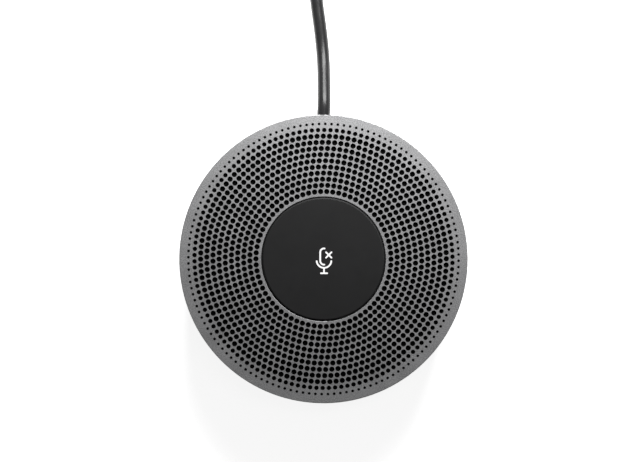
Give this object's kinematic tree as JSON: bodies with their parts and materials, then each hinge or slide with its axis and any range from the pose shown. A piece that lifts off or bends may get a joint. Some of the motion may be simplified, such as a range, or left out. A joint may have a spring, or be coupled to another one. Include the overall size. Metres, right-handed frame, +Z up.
{
  "type": "conference speakerphone",
  "caption": "Round table speakerphone with a perforated metal grille all round, one large central mute button, a rubber foot and a coiled USB lead from the back.",
  "frame": {"origin": "centre of the round unit at the table it stands on", "axes": "+Z up out of the grille and the button, +Y towards the back where the lead leaves, +X to the right of the icon"},
  "size_m": [0.09, 0.1895, 0.0244],
  "materials": {
    "satin_grille_metal": "fine satin blasted metallic grey",
    "housing_plastic": "finely textured dark grey moulding",
    "button_plastic": "satin black moulding",
    "icon_white": "translucent white light guide",
    "foot_rubber": "matte black rubber",
    "black_cloth": "fine woven acoustic cloth",
    "cord_jacket": "smooth glossy dark grey jacket",
    "tie_strap": "woven hook-and-loop strap",
    "zinc_steel": "zinc plated steel",
    "black_steel": "black oxide steel",
    "plug_steel": "bright nickel plated shell",
    "plug_tongue_white": "white moulded insulator",
    "contact_gold": "gold plated contacts",
    "circuit_board": "green solder mask",
    "chip_black": "moulded chip package",
    "capacitor_can": "bright can",
    "header_white": "natural nylon",
    "led_lens": "clear lens",
    "silicone_clear": "translucent silicone",
    "speaker_paper": "black pressed paper",
    "spider_cloth": "resin treated cloth",
    "magnet_grey": "nickel plated magnet",
    "coil_copper": "enamelled copper wire",
    "flex_amber": "amber polyimide film",
    "wire_insulation": "thin insulated wire"
  },
  "bodies": {
    "base": {"lower_housing": "housing_plastic", "foot_ring": "foot_rubber", "base_screws": "black_steel", "upper_housing": "housing_plastic", "top_grille": "satin_grille_metal", "acoustic_cloth": "black_cloth", "button_housing": "housing_plastic", "hub_screws": "zinc_steel", "button_board": "circuit_board", "tactile_switch": "zinc_steel", "icon_leds": "led_lens", "return_ring": "silicone_clear", "speaker_gasket": "foot_rubber", "speaker_basket": "black_steel", "speaker_screws": "zinc_steel", "speaker_yoke": "zinc_steel", "speaker_magnet": "magnet_grey", "speaker_pole_plate": "zinc_steel", "speaker_surround": "foot_rubber", "speaker_spider": "spider_cloth", "speaker_leads": "wire_insulation", "mic_boots": "foot_rubber", "mic_capsules": "zinc_steel", "mic_leads": "wire_insulation", "main_board": "circuit_board", "board_screws": "zinc_steel", "board_chips": "chip_black", "board_capacitors": "capacitor_can", "cord_header": "header_white", "small_headers": "header_white", "button_flex": "flex_amber", "inner_lead": "cord_jacket", "cord_gland": "foot_rubber", "cord": "cord_jacket", "cord_coil": "cord_jacket", "cord_tail": "cord_jacket", "cord_tie": "tie_strap", "plug_relief": "cord_jacket", "plug_cover": "cord_jacket", "plug_shell": "plug_steel", "plug_tongue": "plug_tongue_white", "plug_contacts": "contact_gold"},
    "button": {"mute_button": "button_plastic", "button_icon": "icon_white", "switch_plunger": "button_plastic"},
    "diaphragm": {"speaker_cone": "speaker_paper", "dust_cap": "speaker_paper", "voice_coil": "coil_copper"}
  },
  "joints": [
    {"name": "mute_press", "type": "slide", "parent": "base", "child": "button", "axis": [0, 0, -1], "range_m": [0, 0.0005], "stiffness_N_per_m": 1500, "deforming": ["return_ring"]},
    {"name": "cone_travel", "type": "slide", "parent": "base", "child": "diaphragm", "axis": [0, 0, 1], "range_m": [-0.0005, 0.0005], "stiffness_N_per_m": 1200, "deforming": ["speaker_surround", "speaker_spider"]}
  ]
}
